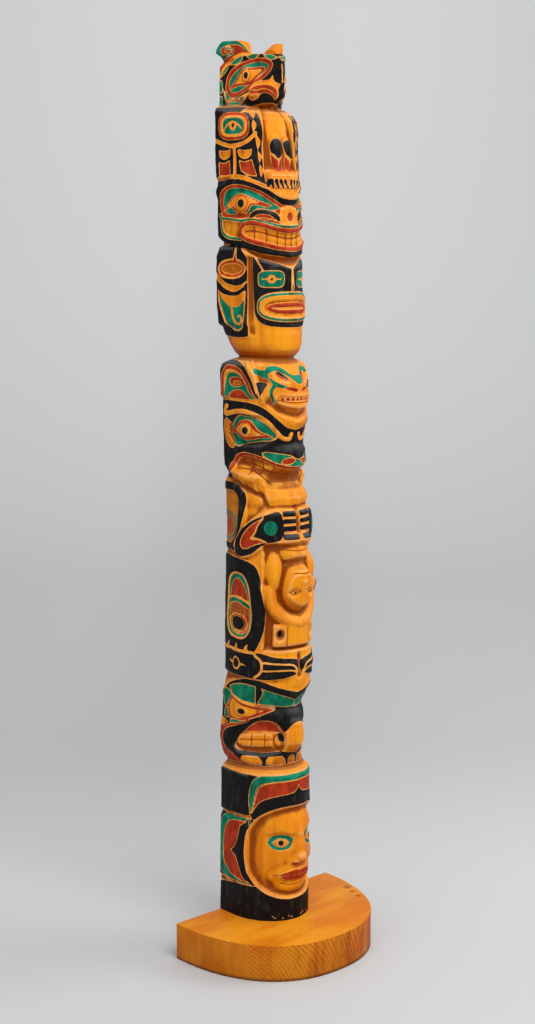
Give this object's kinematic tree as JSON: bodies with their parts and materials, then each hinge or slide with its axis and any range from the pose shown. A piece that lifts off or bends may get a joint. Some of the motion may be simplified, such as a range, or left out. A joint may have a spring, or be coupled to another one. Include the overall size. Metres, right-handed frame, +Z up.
{
  "type": "totem pole",
  "caption": "Carved and painted wooden totem pole of stacked animal and human figures, standing on a thick half-round wooden base.",
  "frame": {"origin": "on the ground under the middle of the base's box", "axes": "+Z up, the figures face -Y, +X to the right when seen from the front"},
  "size_m": [0.269, 0.167, 1.1663],
  "materials": {
    "painted_cedar": "satin varnished cedar, with flat black, green and red paint in the carved fields",
    "varnished_wood": "satin varnish over bare honey coloured softwood"
  },
  "bodies": {
    "root": {"carved_pole": "painted_cedar", "base": "varnished_wood"}
  },
  "joints": []
}
